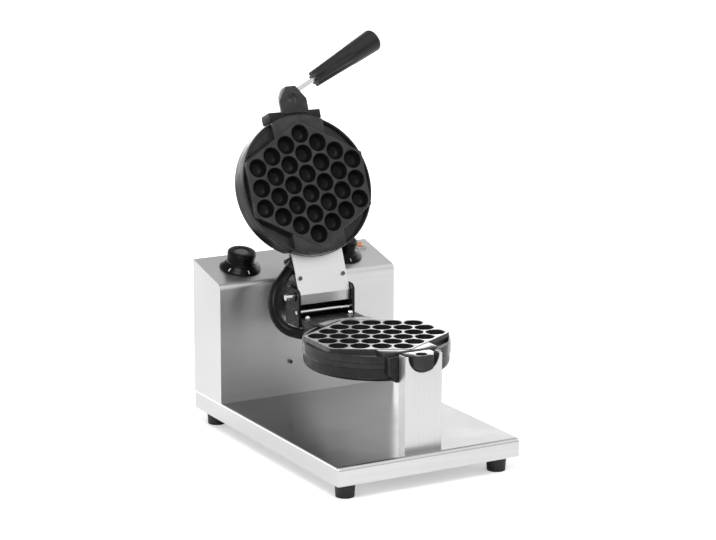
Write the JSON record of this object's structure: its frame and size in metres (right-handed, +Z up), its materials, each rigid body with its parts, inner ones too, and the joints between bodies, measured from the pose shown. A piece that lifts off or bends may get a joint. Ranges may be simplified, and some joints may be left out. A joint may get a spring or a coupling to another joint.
{
  "type": "round bubble waffle maker",
  "caption": "Counter-top round bubble waffle maker with a hinged two-plate flip iron, notched front support and a steel control housing on a tray.",
  "frame": {"origin": "bottom centre of the whole object's bounding box, at floor level under the feet", "axes": "+X to the object's right, +Y to the back, +Z up; the front support faces -Y"},
  "size_m": [0.321, 0.475, 0.5858],
  "materials": {
    "brushed_steel": "brushed stainless sheet",
    "stand_steel": "pale brushed stainless sheet",
    "cover_steel": "pale satin stainless sheet",
    "bright_steel": "bright plated steel",
    "coated_casting": "cast aluminium with a satin black non-stick coat",
    "black_steel": "satin black painted steel",
    "rubber": "matt black rubber",
    "liner": "matt dark bearing strip",
    "conduit": "smooth black sleeve over wires",
    "black_plastic": "matt black nylon",
    "grip_plastic": "black moulded phenolic",
    "knob_plastic": "satin black moulded plastic",
    "cap_metal": "spun aluminium disc",
    "lit_rocker": "translucent orange lens",
    "bezel_plastic": "pale grey plastic",
    "unit_plastic": "dark moulded plastic and plated case",
    "bearing_steel": "black oxide steel",
    "heater_steel": "dull heater sheath"
  },
  "bodies": {
    "base": {"tray": "brushed_steel", "base_plate": "brushed_steel", "rubber_feet": "rubber", "foot_screws": "bright_steel", "housing_shell": "brushed_steel", "housing_back": "brushed_steel", "back_screws": "bright_steel", "front_stud": "bright_steel", "cable_gland": "black_plastic", "terminal_block": "unit_plastic", "front_stand": "stand_steel", "notch_liner": "liner", "shaft_bearing": "bearing_steel", "timer_unit": "unit_plastic", "thermostat_unit": "unit_plastic", "switch_bezel": "bezel_plastic"},
    "lower_iron": {"lower_casting": "coated_casting", "lower_heater": "heater_steel", "lower_cover": "black_steel", "lower_cover_screws": "bright_steel", "yoke": "black_steel", "tongue_screws": "bright_steel", "stop_rod": "bright_steel", "pivot_bolt": "bright_steel", "pivot_washer": "black_steel", "flip_shaft": "bright_steel", "shaft_clip": "bright_steel", "plate_gland": "black_plastic", "wire_conduit": "conduit"},
    "upper_iron": {"upper_casting": "coated_casting", "upper_heater": "heater_steel", "upper_cover": "black_steel", "upper_cover_screws": "bright_steel", "hinge_arm_left": "black_steel", "hinge_arm_right": "black_steel", "arm_screws": "bright_steel", "arm_gland": "black_plastic", "hinge_cover": "cover_steel", "hinge_cover_screws": "bright_steel", "handle_rod": "bright_steel", "handle_grip": "grip_plastic"},
    "timer_dial": {"timer_spindle": "bright_steel", "timer_knob": "knob_plastic", "timer_cap": "cap_metal"},
    "thermostat_dial": {"thermostat_spindle": "bright_steel", "thermostat_knob": "knob_plastic", "thermostat_cap": "cap_metal"},
    "switch_key": {"switch_rocker": "lit_rocker"}
  },
  "joints": [
    {"name": "iron_flip", "type": "hinge", "parent": "base", "child": "lower_iron", "pos_m": [-0.01053, 0.12551, 0.188], "axis": [0, 1, 0], "range_deg": [-30, 30]},
    {"name": "lid_hinge", "type": "hinge", "parent": "lower_iron", "child": "upper_iron", "pos_m": [-0.01053, 0.08251, 0.214], "axis": [1, 0, 0], "range_deg": [0, 113], "deforming": ["wire_conduit"]},
    {"name": "timer_turn", "type": "hinge", "parent": "base", "child": "timer_dial", "pos_m": [-0.10253, 0.17405, 0.24513], "axis": [0, -0.2425, 0.9701], "range_deg": [-300, 0]},
    {"name": "thermostat_turn", "type": "hinge", "parent": "base", "child": "thermostat_dial", "pos_m": [0.07347, 0.17405, 0.24513], "axis": [0, -0.2425, 0.9701], "range_deg": [-270, 0]},
    {"name": "switch_tilt", "type": "hinge", "parent": "base", "child": "switch_key", "pos_m": [0.11747, 0.19733, 0.24683], "axis": [1, 0, 0], "range_deg": [-20, 0]}
  ]
}
